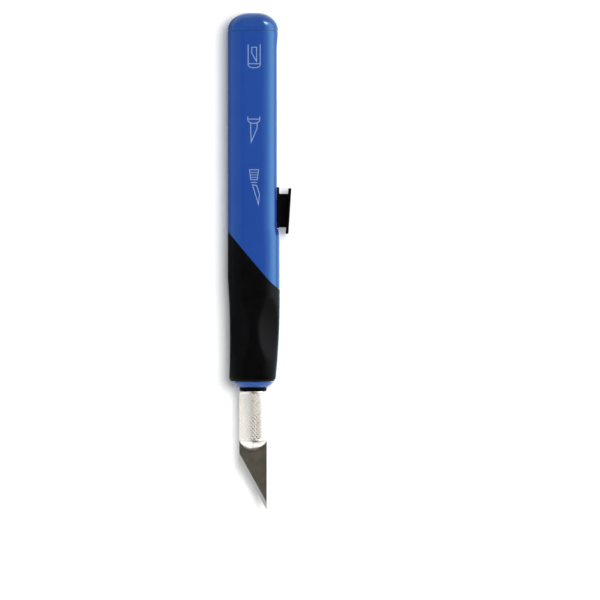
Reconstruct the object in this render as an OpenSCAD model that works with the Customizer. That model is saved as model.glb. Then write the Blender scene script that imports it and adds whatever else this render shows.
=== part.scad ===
// Retractable craft knife: a thumb slider moves a carriage that carries a collet chuck and its blade.
// The knife is shown fully forward, the place where the blade is changed.
// Pieces are drawn upright about the chuck axis, nose at z = 0 and cap at the top, with the thumb slider
// on +x and the printed face on -y, and are then laid on their back.

/* [Handle tube] */
// Width of the tube, side to side
tube_w = 14.7; // [14.3:0.1:16]
// Thickness of the tube, front to back
tube_t = 12.6; // [12.3:0.1:14]
// Radius of the tube's long corners
corner_r = 4.6; // [3.6:0.1:5.2]
// Wall of the tube round the carriage's cavity
wall = 1.7; // [1.5:0.05:1.8]
// How far the slider's side stands out in front of the thumb track
swell = 0.45; // [0.2:0.05:0.8]

/* [Thumb track] */
// Distance from the nose to the front end of the track
track_front = 46.3; // [44:0.1:52]
// Depth of the flat track below the tube's side
track_depth = 0.4; // [0.2:0.05:0.5]
// Length of the slope that ends the track at the cap
ramp_len = 4; // [2:0.5:8]
// Height of the upright face at the front end of the track
step_h = 0.4; // [0.2:0.05:0.6]
// Length of the slope that leads from that face to the swell
step_len = 2; // [1:0.1:4]

/* [Nose] */
// Length of the bare nose in front of the grip
nose_len = 2.05; // [1.5:0.05:3]
// Width of the flat ring at the mouth of the nose
nose_lip = 0.3; // [0.2:0.05:0.8]
// How far the base of the nose lies inside the tube's thickness
nose_inset = 0.1; // [0.05:0.05:0.3]
// Wall of the tube round the bore, under the grip
core_wall = 1.2; // [1:0.05:1.4]
// Clearance between the chuck and the bore
bore_gap = 0.15; // [0.1:0.01:0.25]

/* [Grip] */
// Distance from the grip's highest point up to the thumb track
ledge = 0.9; // [0.5:0.1:4]
// Fall of the grip's slanting top edge from its high side to its low side
grip_drop = 16.8; // [8:0.1:22]
// Width of the flatter stretch at the low end of that edge
knee_w = 2.1; // [1:0.1:4]
// Fall of the edge over its flatter stretch
knee_drop = 1.3; // [0.5:0.1:3]
// Depth of the waist on the high side
waist_depth = 0.65; // [0.3:0.05:0.9]
// Distance from the nose to the middle of the waist
waist_z = 14; // [10:0.5:20]
// Half the length of the waist
waist_half = 18; // [14:0.5:24]
// Distance from the nose at which the low side starts to taper
taper_z = 26; // [20:0.5:32]
// Amount that the low side has drawn in at the nose
taper_in = 1.45; // [0.6:0.05:1.8]
// Depth of the two finger scoops
scoop_depth = 1.35; // [0.6:0.05:1.45]
// Length of the finger scoops
scoop_len = 18; // [12:0.5:19]
// Distance from the nose to the middle of the scoops
scoop_z = 18; // [14:0.5:19]
// Angle of the scoops from the side towards the printed face
scoop_angle = 64; // [50:1:68]
// Width of the grip's foot outside the base of the nose
grip_foot = 0.7; // [0.4:0.05:1.2]

/* [End cap] */
// Straight rim of the cap below its rounded end
cap_rim = 0.7; // [0.3:0.1:2]
// Length of the plug that holds the cap in the tube
plug_len = 4.5; // [3:0.1:8]
// Clear room between the plug and the carriage when it is drawn right back
rear_room = 1.7; // [0.5:0.1:4]

/* [Thumb slider] */
// Length of the slider's block
block_len = 10; // [9:0.1:14]
// Width of the slider's block
block_w = 5; // [4:0.1:6]
// Thickness of the flange that rides on the track
flange_t = 0.6; // [0.4:0.05:1]
// Width of the flange
flange_w = 7; // [6:0.1:8]
// Length of the flange behind the block
flange_tail = 1.9; // [0.5:0.1:2.5]
// Height of the block at its front end
block_h = 1.95; // [1.2:0.05:4]
// Slope of the thumb plate, rising to the rear, in degrees
plate_tilt = 3.7; // [0:0.1:8]
// Thickness of the thumb plate
plate_t = 0.85; // [0.6:0.05:1.5]
// Width of the thumb plate
plate_w = 7.4; // [6:0.1:9]
// Length of the thumb plate past each end of the block
plate_over = 1.65; // [0.5:0.05:2.5]
// Width of the stem that passes through the slot
stem_w = 3; // [2:0.1:3.6]
// Distance of the stem from each end of the block
stem_inset = 1.8; // [1:0.1:2.4]
// Depth of the stem inside the carriage
stem_depth = 2.2; // [1.4:0.1:2.6]

/* [Carriage] */
// Clearance between the carriage and the tube
slide_gap = 0.1; // [0.06:0.01:0.15]
// Length of the carriage behind the slider's block
carriage_tail = 3; // [2:0.1:6]
// Thickness of the shoulder between the track and the cavity
shoulder = 0.9; // [0.6:0.1:2]
// Length of the dark collar that shows behind the chuck
collar_len = 1; // [0.6:0.1:2]
// How far the collar lies inside the chuck's outline
collar_inset = 0.05; // [0:0.05:0.3]
// Chamfer on the front edge of the collar
collar_chamfer = 0.2; // [0.1:0.05:0.4]
// Radius of the bore that hollows the carriage from the rear
hollow_r = 2.2; // [1.6:0.1:2.4]
// Distance from the nose to the front end of that bore
hollow_z = 10; // [6:0.5:20]

/* [Detent spring] */
// Thickness of the leaf
leaf_t = 0.3; // [0.2:0.02:0.36]
// Width of the leaf
leaf_w = 4; // [3:0.1:5]
// Length of the leaf
leaf_len = 9; // [7:0.1:9.4]
// Depth of the leaf's pocket in the carriage
pocket_depth = 1.3; // [1.1:0.05:1.5]
// Depth of the three notches in the tube's wall
notch_depth = 0.65; // [0.55:0.05:0.8]
// Radius of the notches
notch_r = 2; // [1.8:0.1:3]
// Half the length of the leaf's raised middle
knee_half = 1.6; // [1.2:0.1:2]

/* [Chuck] */
// Diameter of the chuck sleeve
chuck_d = 8; // [7.6:0.1:8.4]
// Length from the collar to the front of the chuck sleeve
chuck_len = 14.6; // [13:0.1:20]
// Length of the collet's domed nose
dome_len = 2.3; // [1.6:0.1:3]
// Outside diameter of the collet's thread
thread_d = 5; // [4.6:0.1:5.2]
// Length of the sleeve's thread
thread_len = 3.2; // [2:0.1:4]
// Rim of the sleeve round the mouth of its cone
rim_wall = 0.5; // [0.4:0.05:0.7]
// Length of the sleeve's cone
cone_len = 4; // [3:0.1:5]
// Wall of the sleeve round the carriage's spigot
sleeve_wall = 0.85; // [0.75:0.05:1]
// Length of the spigot that carries the sleeve
spigot_len = 3.5; // [2.6:0.1:5]
// Diameter of the collet's tail
tail_d = 3.8; // [3.2:0.1:4]
// Distance across the tail's two flats
tail_flats = 2.8; // [2.2:0.1:3]
// Length of the tail behind the collet's thread
tail_len = 9; // [6:0.1:12]
// Width of the slit that parts the jaws crosswise
cross_slit = 0.5; // [0.3:0.05:0.8]
// Chamfer on the ends of the sleeve
sleeve_chamfer = 0.3; // [0.1:0.05:0.4]
// Clearance between turning faces
run_gap = 0.06; // [0.04:0.01:0.1]

/* [Retaining ring] */
// Thickness of the ring along the axis
ring_t = 0.5; // [0.4:0.05:0.8]
// Depth of its groove in the spigot
ring_groove = 0.35; // [0.25:0.05:0.45]
// How far the ring stands out of that groove
ring_stand = 0.25; // [0.2:0.05:0.3]
// Width of the gap in the ring
ring_mouth = 1.6; // [1:0.1:3]

/* [Blade] */
// Thickness of the blade
blade_t = 0.6; // [0.4:0.05:0.8]
// How far each side of the blade lies inside the chuck's outline
blade_inset = 0; // [0:0.05:0.8]
// Length of the blade's square part in front of the sleeve
heel_len = 5.6; // [4:0.1:8]
// Angle between the cutting edge and the spine, in degrees
edge_angle = 29; // [24:0.5:45]
// Width of the ground bevel
bevel_w = 1.15; // [0.6:0.05:1.6]
// Thickness left along the cutting edge
edge_t = 0.03; // [0.02:0.01:0.06]
// Width of the blade's tang
tang_w = 4.4; // [3.4:0.1:4.5]
// Distance of the tip inside the nose when the blade is drawn right back
hide = 2.6; // [1.5:0.1:4]
// Length of the dome that shows at the cutting position
dome_show = 1; // [0.4:0.1:1.6]

/* [Hidden] */
$fn = 96;

// Gap between pieces that are fixed to each other, and between stops
seat_gap = 0.05;
stop_gap = 0.1;
// Gap between the thumb slider and the walls of its slot
slot_gap = 0.2;
// Overlap of shapes that are joined into one piece
lap = 0.05;
// Overshoot of a cutting shape past the face that it cuts
past = 1;
// Length of side that a cutting shape needs to pass the whole knife
far = 4 * tube_w;

// Chuck axis outwards: bore, core and nose
bore_r = chuck_d / 2 + bore_gap;
core_r = bore_r + core_wall;
nose_r = tube_t / 2 - nose_inset;

// Places along the axis in front of the nose, counted from its mouth
sleeve_front = -collar_len - chuck_len;
spigot_front = -collar_len - spigot_len;
thread_rear = spigot_front - slot_gap;
slit_end = thread_rear - thread_len;
cone_rear = sleeve_front + cone_len;
seat_z = sleeve_front - seat_gap;
blade_w = chuck_d - 2 * blade_inset;
heel_z = seat_z - heel_len;
tip_z = heel_z - blade_w / tan(edge_angle);

// Strokes of the carriage from the forward stop: cutting place, and drawn right back
cut_draw = dome_len - seat_z - dome_show;
travel = hide - tip_z;

// Places along the axis behind the nose
grip_high = track_front - ledge;
grip_low = grip_high - grip_drop;
cavity_front = track_front + shoulder;
thumb_front = track_front + slot_gap;
thumb_rear = thumb_front + block_len;
stem_front = thumb_front + stem_inset;
stem_len = block_len - 2 * stem_inset;
carriage_front = cavity_front + stop_gap;
carriage_rear = thumb_rear + carriage_tail;
tube_len = carriage_rear + travel + rear_room + plug_len;
leaf_z = (carriage_front + carriage_rear) / 2;

// Sizes across the tube
cavity_w = tube_w - 2 * wall;
cavity_t = tube_t - 2 * wall;
cavity_r = corner_r - wall;
track_x = tube_w / 2 - track_depth;
swell_x = tube_w / 2 + swell;
flange_x = track_x + slide_gap;
plate_x = flange_x + flange_t + block_h;

// Radii inside the chuck
spigot_r = chuck_d / 2 - sleeve_wall - run_gap;
groove_r = spigot_r - ring_groove;
ring_r = spigot_r + ring_stand;
thread_r = thread_d / 2;
mouth_r = chuck_d / 2 - rim_wall;
collar_r = chuck_d / 2 - collar_inset;
ring_z = (spigot_front - collar_len) / 2;

// Lays the upright knife on its back, with the middle of the tube's back at the origin.
module lay() {
    translate([0, -tube_len / 2, tube_t / 2]) rotate([-90, 0, 0]) children();
}

// Rectangle with round corners, centred.
module rounded(w, t, r) {
    square([w - 2 * r, t], center = true);
    square([w, t - 2 * r], center = true);
    for (sx = [-1, 1], sy = [-1, 1])
        translate([sx * (w / 2 - r), sy * (t / 2 - r)]) circle(r);
}

// Prism from z0 to z1 over that rectangle, made smaller by gap all round.
module bar(w, t, r, z0, z1, gap = 0) {
    translate([0, 0, z0]) linear_extrude(z1 - z0) rounded(w - 2 * gap, t - 2 * gap, r - gap);
}

// Plate of the given depth, seen from the front as the polygon of [x, z] points.
module plate(points, depth) {
    rotate([90, 0, 0]) linear_extrude(depth, center = true) polygon(points);
}

// Disc seen from the front as a circle about [x, z].
module disc(x, z, r, depth) {
    translate([x, 0, z]) rotate([90, 0, 0]) cylinder(r = r, h = depth, center = true);
}

// Radius of an arc with the given half chord and rise.
function arc_r(half, rise) = (half * half + rise * rise) / (2 * rise);

// Everything below the grip's slanting top edge, which flattens at its low end, lowered by gap.
module below_slant(gap = 0) {
    knee_x = swell_x - knee_w;
    knee_z = grip_low + knee_drop;
    steep = (grip_high - knee_z) / (knee_x + tube_w / 2);
    flat = knee_drop / knee_w;
    translate([0, 0, -gap]) plate([[-tube_w, grip_high + steep * tube_w / 2], [knee_x, knee_z],
        [tube_w, grip_low - flat * (tube_w - swell_x)], [tube_w, -past], [-tube_w, -past]], far);
}

// Prism of the tube where its slider side swells, in front of the thumb track.
module swollen_bar(z0, z1) {
    translate([swell / 2, 0, 0]) bar(tube_w + swell, tube_t, corner_r, z0, z1);
}

// Slot or stem: a bar with round ends that runs along the axis and passes through the tube's side.
module stadium(w, z0, z1, x0, x1) {
    translate([x0, 0, 0]) rotate([0, 90, 0]) linear_extrude(x1 - x0) {
        translate([-(z0 + z1) / 2, 0]) square([z1 - z0 - w, w], center = true);
        for (z = [z0 + w / 2, z1 - w / 2]) translate([-z, 0]) circle(w / 2);
    }
}

// Straight strip of thickness t between two [x, z] points, with round ends.
module link(p, q, t) {
    run = q - p;
    translate(p) rotate(atan2(run[1], run[0])) translate([0, -t / 2]) square([norm(run), t]);
    for (end = [p, q]) translate(end) circle(t / 2);
}

// Thumb track: a flat cut along the slider's side, which slopes out at the cap.
module track_cut() {
    rise = track_depth - seat_gap;
    plate([[track_x, track_front], [track_x, tube_len - ramp_len],
        [track_x + rise * (ramp_len + past) / ramp_len, tube_len + past],
        [far, tube_len + past], [far, track_front]], far);
    plate([[track_x + step_h, track_front], [swell_x, track_front - step_len],
        [far, track_front - step_len], [far, track_front]], far);
}

// Blue tube: rounded nose, core under the grip, and the hollow rear part with its slot and notches.
module handle_tube() {
    mouth_ring = bore_r + nose_lip;
    ball_z = (nose_r * nose_r + nose_len * nose_len - mouth_ring * mouth_ring) / (2 * nose_len);
    color("royalblue") lay() difference() {
        union() {
            difference() {
                union() {
                    bar(tube_w, tube_t, corner_r, nose_len, tube_len);
                    swollen_bar(nose_len, track_front);
                }
                below_slant();
                track_cut();
            }
            translate([0, 0, nose_len - lap]) cylinder(r = core_r, h = cavity_front - nose_len);
            intersection() {
                translate([0, 0, ball_z]) sphere(norm([mouth_ring, ball_z]));
                cylinder(r = tube_w, h = nose_len);
            }
        }
        translate([0, 0, -past]) cylinder(r = bore_r, h = cavity_front + 2 * past);
        bar(cavity_w, cavity_t, cavity_r, cavity_front, tube_len + past);
        stadium(stem_w + 2 * slot_gap, stem_front - slot_gap, stem_front + stem_len + travel + slot_gap,
            cavity_w / 2 - past, tube_w);
        for (draw = [0, cut_draw, travel])
            disc(notch_r - notch_depth - cavity_w / 2, leaf_z + draw, notch_r, leaf_w + 2 * slot_gap);
    }
}

// Soft black grip moulded round the core, with a waist, a taper and two finger scoops.
module grip_sleeve() {
    foot_z = nose_len + seat_gap;
    waist_r = arc_r(waist_half, waist_depth);
    taper_r = arc_r(taper_z, taper_in);
    scoop_r = arc_r(scoop_len / 2, scoop_depth);
    color("black") lay() difference() {
        intersection() {
            swollen_bar(foot_z, grip_high);
            below_slant(seat_gap);
            disc(swell_x - taper_r, taper_z, taper_r, far);
            translate([0, 0, foot_z]) cylinder(r1 = nose_r + grip_foot, r2 = nose_r + grip_foot + tube_len,
                h = tube_len);
        }
        translate([0, 0, -past]) cylinder(r = core_r + seat_gap, h = tube_len);
        disc(waist_depth - tube_w / 2 - waist_r, waist_z, waist_r, far);
        for (side = [-1, 1]) {
            half = side > 0 ? swell_x : tube_w / 2;
            out = [side * cos(scoop_angle), -sin(scoop_angle)];
            corner = [side * (half - corner_r), corner_r - tube_t / 2];
            centre = corner + (corner_r + scoop_r - scoop_depth) * out;
            translate([centre[0], centre[1], scoop_z]) sphere(scoop_r);
        }
    }
}

// Blue cap: a rounded end on a plug that is pressed into the cavity.
module end_cap() {
    seam = tube_len + seat_gap;
    round_z = tube_len + cap_rim;
    color("royalblue") lay() union() {
        intersection() {
            hull() {
                for (sx = [-1, 1], sy = [-1, 1])
                    translate([sx * (tube_w / 2 - corner_r), sy * (tube_t / 2 - corner_r), round_z])
                        sphere(corner_r, $fn = 32);
                bar(tube_w, tube_t, corner_r, tube_len, round_z, $fn = 32);
            }
            translate([-far, -far, seam]) cube(2 * far);
        }
        bar(cavity_w, cavity_t, cavity_r, tube_len - plug_len, seam + lap, seat_gap);
    }
}

// Black carriage: the bar in the cavity, the tube in the bore, and the spigot that carries the chuck.
module carriage() {
    tail_gap = 2 * run_gap;
    pocket_x = pocket_depth - cavity_w / 2 + slide_gap;
    color("dimgray") lay() difference() {
        union() {
            bar(cavity_w, cavity_t, cavity_r, carriage_front, carriage_rear, slide_gap);
            cylinder(r = bore_r - slide_gap, h = carriage_front + lap);
            translate([0, 0, -collar_len]) cylinder(r1 = collar_r - collar_chamfer, r2 = collar_r,
                h = collar_chamfer);
            translate([0, 0, collar_chamfer - collar_len]) cylinder(r = collar_r,
                h = collar_len - collar_chamfer + lap);
            translate([0, 0, spigot_front]) cylinder(r = spigot_r, h = spigot_len + lap);
        }
        translate([0, 0, ring_z - ring_t / 2 - run_gap]) difference() {
            cylinder(r = chuck_d / 2, h = ring_t + 2 * run_gap);
            translate([0, 0, -past]) cylinder(r = groove_r, h = ring_t + 2 * past);
        }
        translate([0, 0, spigot_front - past]) intersection() {
            cylinder(r = tail_d / 2 + tail_gap, h = tail_len + past);
            translate([-tail_d, -tail_flats / 2 - tail_gap, 0])
                cube([2 * tail_d, tail_flats + 2 * tail_gap, tail_len + past]);
        }
        translate([0, 0, hollow_z]) cylinder(r = hollow_r, h = tube_len);
        stadium(stem_w + 2 * seat_gap, stem_front - seat_gap, stem_front + stem_len + seat_gap,
            cavity_w / 2 - slide_gap - stem_depth - seat_gap, tube_w);
        translate([-far, -leaf_w / 2 - slot_gap, leaf_z - leaf_len / 2 - slot_gap])
            cube([far + pocket_x, leaf_w + 2 * slot_gap, leaf_len + 2 * slot_gap]);
    }
}

// Black thumb slider: a flange on the track, a block, a tilted thumb plate and a stem through the slot.
module thumb_slider() {
    slope = tan(plate_tilt);
    plate_front = thumb_front - plate_over;
    plate_rear = thumb_rear + plate_over;
    under = [for (z = [plate_front, plate_rear]) plate_x + slope * (z - thumb_front)];
    root_x = flange_x + flange_t;
    color("black") lay() union() {
        plate([[flange_x, thumb_front], [flange_x, thumb_rear + flange_tail],
            [root_x, thumb_rear + flange_tail], [root_x, thumb_front]], flange_w);
        plate([[flange_x, thumb_front], [flange_x, thumb_rear],
            [plate_x + slope * block_len + plate_t / 2, thumb_rear],
            [plate_x + plate_t / 2, thumb_front]], block_w);
        plate([[under[0], plate_front], [under[1], plate_rear], [under[1] + plate_t, plate_rear],
            [under[0] + plate_t, plate_front]], plate_w);
        stadium(stem_w, stem_front, stem_front + stem_len, cavity_w / 2 - slide_gap - stem_depth, root_x);
    }
}

// Steel leaf in the carriage's pocket, whose raised middle drops into the tube's notches.
module detent_spring() {
    foot_x = pocket_depth - cavity_w / 2 + slide_gap - seat_gap - leaf_t / 2;
    knee_x = leaf_t - cavity_w / 2;
    peak_x = slot_gap + leaf_t / 2 - notch_depth - cavity_w / 2;
    bends = [[foot_x, -leaf_len / 2 + leaf_t], [knee_x, -knee_half], [peak_x, 0], [knee_x, knee_half],
        [foot_x, leaf_len / 2 - leaf_t]];
    color("silver") lay() translate([0, 0, leaf_z]) rotate([90, 0, 0]) linear_extrude(leaf_w, center = true)
        for (i = [1 : len(bends) - 1]) link(bends[i - 1], bends[i], leaf_t);
}

// Split steel ring in the spigot's groove, which keeps the chuck sleeve on the carriage.
module retaining_ring() {
    color("gray") lay() translate([0, 0, ring_z]) difference() {
        cylinder(r = ring_r, h = ring_t, center = true);
        cylinder(r = groove_r + seat_gap, h = far, center = true);
        translate([0, -ring_mouth / 2, -past]) cube([far, ring_mouth, 2 * past]);
    }
}

// Bright sleeve that turns on the spigot, draws the collet back by its thread and closes the jaws.
module chuck_sleeve() {
    rear = -collar_len - run_gap;
    edge = sleeve_chamfer;
    chuck_r = chuck_d / 2;
    color("gainsboro") lay() difference() {
        rotate_extrude() polygon([[0, sleeve_front], [chuck_r - edge, sleeve_front],
            [chuck_r, sleeve_front + edge], [chuck_r, rear - edge], [chuck_r - edge, rear], [0, rear]]);
        translate([0, 0, thread_rear]) cylinder(r = spigot_r + run_gap, h = far);
        translate([0, 0, ring_z]) cylinder(r = ring_r + run_gap, h = ring_t + 2 * run_gap, center = true);
        translate([0, 0, sleeve_front - past]) cylinder(r = thread_r + run_gap, h = chuck_len);
        translate([0, 0, sleeve_front]) cylinder(r1 = mouth_r, r2 = thread_r + run_gap, h = cone_len);
        translate([0, 0, sleeve_front - past]) cylinder(r = mouth_r, h = past);
    }
}

// Bright collet: domed jaws parted by two slits, a cone, a thread and a flat-sided tail.
module collet() {
    dome_r = arc_r(collar_r, dome_len);
    head_r = mouth_r - 2 * run_gap;
    shank_rear = thread_rear - stop_gap;
    slit_len = slit_end - seat_z + dome_len + past;
    color("silver") lay() difference() {
        union() {
            intersection() {
                translate([0, 0, seat_z - dome_len + dome_r]) sphere(dome_r);
                translate([0, 0, seat_z - far]) cylinder(r = chuck_d, h = far);
            }
            translate([0, 0, seat_z - lap]) cylinder(r = head_r, h = seat_gap + 2 * lap);
            translate([0, 0, sleeve_front]) cylinder(r1 = head_r, r2 = thread_r, h = cone_len - 2 * run_gap);
            translate([0, 0, sleeve_front]) cylinder(r = thread_r, h = shank_rear - sleeve_front);
            intersection() {
                translate([0, 0, shank_rear - lap]) cylinder(r = tail_d / 2, h = tail_len);
                translate([-tail_d, -tail_flats / 2, -far]) cube([2 * tail_d, tail_flats, 2 * far]);
            }
        }
        translate([-far, -blade_t / 2 - seat_gap, slit_end - slit_len])
            cube([2 * far, blade_t + 2 * seat_gap, slit_len]);
        translate([-cross_slit / 2, -far, slit_end - slit_len]) cube([cross_slit, 2 * far, slit_len]);
    }
}

// Steel blade: a pointed plate with a tang, ground on both sides of its cutting edge.
module blade() {
    half = blade_w / 2;
    neck = tang_w / 2;
    tang_z = slit_end - stop_gap;
    edge_len = blade_w / sin(edge_angle);
    color("slategray") lay() difference() {
        plate([[-half, heel_z], [-half, seat_z], [-neck, seat_z], [-neck, tang_z], [neck, tang_z],
            [neck, seat_z], [half, seat_z], [half, tip_z]], blade_t);
        for (side = [-1, 1])
            translate([-half, 0, heel_z]) rotate([0, 90 - edge_angle, 0]) rotate([0, 90, 0])
                translate([0, 0, -edge_len]) linear_extrude(3 * edge_len)
                    polygon([[past, side * edge_t / 2], [past, side * far], [-bevel_w, side * far],
                        [-bevel_w, side * blade_t / 2], [0, side * edge_t / 2]]);
    }
}

handle_tube();
grip_sleeve();
end_cap();
carriage();
thumb_slider();
detent_spring();
retaining_ring();
chuck_sleeve();
collet();
blade();
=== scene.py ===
import bpy
import numpy as np
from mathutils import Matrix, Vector


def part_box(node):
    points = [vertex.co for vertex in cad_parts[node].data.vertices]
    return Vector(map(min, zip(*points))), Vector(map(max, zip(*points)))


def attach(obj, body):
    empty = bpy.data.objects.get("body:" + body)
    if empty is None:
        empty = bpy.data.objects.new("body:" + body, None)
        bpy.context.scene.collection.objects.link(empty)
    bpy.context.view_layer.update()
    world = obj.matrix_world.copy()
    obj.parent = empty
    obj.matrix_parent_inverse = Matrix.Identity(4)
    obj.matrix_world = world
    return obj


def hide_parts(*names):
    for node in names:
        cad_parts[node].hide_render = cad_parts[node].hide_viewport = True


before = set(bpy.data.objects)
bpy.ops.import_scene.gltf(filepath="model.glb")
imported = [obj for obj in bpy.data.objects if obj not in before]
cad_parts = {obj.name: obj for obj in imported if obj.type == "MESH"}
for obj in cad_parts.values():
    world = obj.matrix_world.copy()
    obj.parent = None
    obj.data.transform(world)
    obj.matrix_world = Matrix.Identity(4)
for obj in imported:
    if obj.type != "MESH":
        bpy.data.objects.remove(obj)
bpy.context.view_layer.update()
print("loaded", len(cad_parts), "nodes")
mm = 0.001

# Knife millimetres: across towards the slider's side, along from the nose's mouth to the cap,
# and up from the chuck's axis
chuckLow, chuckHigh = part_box("chuck_sleeve")
datum = np.array([0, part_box("handle_tube")[0].y, (chuckLow.z + chuckHigh.z) / 2]) / mm


def nodeCorners(node):
    low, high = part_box(node)
    return np.array(low) / mm - datum, np.array(high) / mm - datum


tubeLow, tubeHigh = nodeCorners("handle_tube")
capHigh = nodeCorners("end_cap")[1]
sleeveLow, sleeveHigh = nodeCorners("chuck_sleeve")
colletHigh = nodeCorners("collet")[1]
bladeLow, bladeHigh = nodeCorners("blade")
thumbLow, thumbHigh = nodeCorners("thumb_slider")

skinInset = 0.01  # leaves room for the print inside the CAD box
halfWide, swell, tubeSeam = -tubeLow[0], tubeHigh[0], tubeHigh[1]
halfThick = tubeHigh[2] - skinInset
tubeCorner = 4.6  # radius of the tube's edges
slant = dict(high=45.4, drop=16.8, kneeWide=2.1, kneeDrop=1.3, kneeSoft=0.5)
domeSeat = sleeveLow[1] - 0.05  # where the collet's dome stands, just clear of the sleeve
quarter = np.linspace(0, np.pi / 2, 6)[:, None]  # turns of a rounded edge


def smooth(q):  # 0 to 1 with flat ends
    q = np.clip(q, 0, 1)
    return q * q * (3 - 2 * q)


def softMin(a, b, blend):  # the smaller of two, rounded over where they cross
    return (a + b - np.sqrt((a - b) ** 2 + blend**2)) / 2


def softMax(a, b, blend):
    return -softMin(-a, -b, blend)


def arcRadius(half, rise):  # radius of an arc with that half chord and rise
    return (half**2 + rise**2) / (2 * rise)


def nearness(distance, reach):  # 1 at no distance, falling off as a bell
    return np.exp(-((distance / reach) ** 2))


def column(values):
    return np.asarray(values, float)[:, None]


def sheet(x, along, up):  # one point for each row and column
    return np.stack(np.broadcast_arrays(x, along, up), -1).astype(float)


def turned(radius, along, turn):  # rings about a line along the knife
    return sheet(radius * np.cos(turn), along, radius * np.sin(turn))


# Columns round a rounded rectangle: the side and level of the corner centre that a point belongs to,
# and its turn about that centre
def ringColumns(rightFlat, rightArc, acrossCount, leftArc, leftFlat):
    across = np.linspace(1, 0, acrossCount + 1)[1:]
    parts = [
        (1, rightFlat, 0),
        (1, 1, rightArc[1:]),
        (across, 1, 90),
        (0, 1, 90 + leftArc[1:]),
        (0, leftFlat[1:], 180),
        (0, -1, 180 + leftArc[1:]),
        (1 - across, -1, 270),
        (1, -1, 360 - rightArc[::-1][1:-1]),
    ]
    rows = [np.stack(np.broadcast_arrays(*np.atleast_1d(*part))) for part in parts]
    side, level, turn = np.concatenate(rows, axis=1)
    return side, level, np.radians(turn)


# Corner centres lie inside the sides by the radius, and each column goes out from its centre by that radius
def roundedRing(columns, low, high, half, radius):
    side, level, turn = columns
    x = side * (high - radius) + (1 - side) * (low + radius) + radius * np.cos(turn)
    return x, level * (half - radius) + radius * np.sin(turn)


# Cells between rows i, i + 1 and columns j, j + 1; columns close round, and rows too if closed
def gridCells(rows, columns, closed=False):
    i = np.arange(rows if closed else rows - 1)[:, None]
    j = np.arange(columns)[None, :]
    below, right = (i + 1) % rows, (j + 1) % columns
    return np.stack([i * columns + j, i * columns + right, below * columns + right, below * columns + j], -1)


# Triangles from the first or last row of a grid to a hub point
def endFan(row, columns, hub, first):
    ring = row * columns + np.arange(columns)
    ends = [np.full(columns, hub), np.roll(ring, -1), ring]
    return np.stack(ends if first else ends[::-1], -1)


# Quads and triangles that enclose a negative volume are turned round, so that faces point outwards
def closedShell(points, quads, tris=()):
    quads, tris = np.reshape(quads, (-1, 4)).astype(int), np.reshape(tris, (-1, 3)).astype(int)
    points = np.reshape(points, (-1, 3))
    thirds = np.concatenate([quads[:, [0, 1, 2]], quads[:, [0, 2, 3]], tris])
    a, b, c = (points[thirds[:, k]] for k in range(3))
    if np.sum(a * np.cross(b, c)) < 0:
        quads, tris = quads[:, ::-1], tris[:, ::-1]
    return points, quads, tris


# A tube of rings closed by a fan at each end
def fannedShell(grid):
    rows, columns = grid.shape[:2]
    hubs = grid[[0, -1]].mean(axis=1)
    count = rows * columns
    tris = np.concatenate([endFan(0, columns, count, True), endFan(rows - 1, columns, count + 1, False)])
    return closedShell(np.concatenate([grid.reshape(-1, 3), hubs]), gridCells(rows, columns), tris)


def addObject(name, data):
    made = bpy.data.objects.new(name, data)
    bpy.context.scene.collection.objects.link(made)
    return made


def addMark(mesh, name, values):  # one number for each point, which a material can read
    layer = mesh.attributes.new(name, "FLOAT", "POINT")
    layer.data.foreach_set("value", np.ravel(values).astype(np.float32))


# Shells become one mesh in the frame's metres, with any marks stored as point attributes
def addPiece(name, shells, body, node, slotName, material, sharpAngle=38, **marks):
    starts = np.cumsum([0] + [len(shell[0]) for shell in shells])
    points = np.concatenate([shell[0] for shell in shells])
    faces = [face for start, (_, quads, tris) in zip(starts, shells)
             for part in (quads, tris) for face in (part + start).tolist()]
    mesh = bpy.data.meshes.new(name)
    mesh.from_pydata((points + datum) * mm, [], faces)
    mesh.shade_smooth()
    mesh.set_sharp_from_angle(angle=np.radians(sharpAngle))
    for mark, values in marks.items():
        addMark(mesh, mark, values)
    mesh.materials.append(material)
    piece = addObject(name, mesh)
    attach(piece, body)
    if node:
        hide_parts(node)
    print("made", name, len(points), "points")


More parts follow.
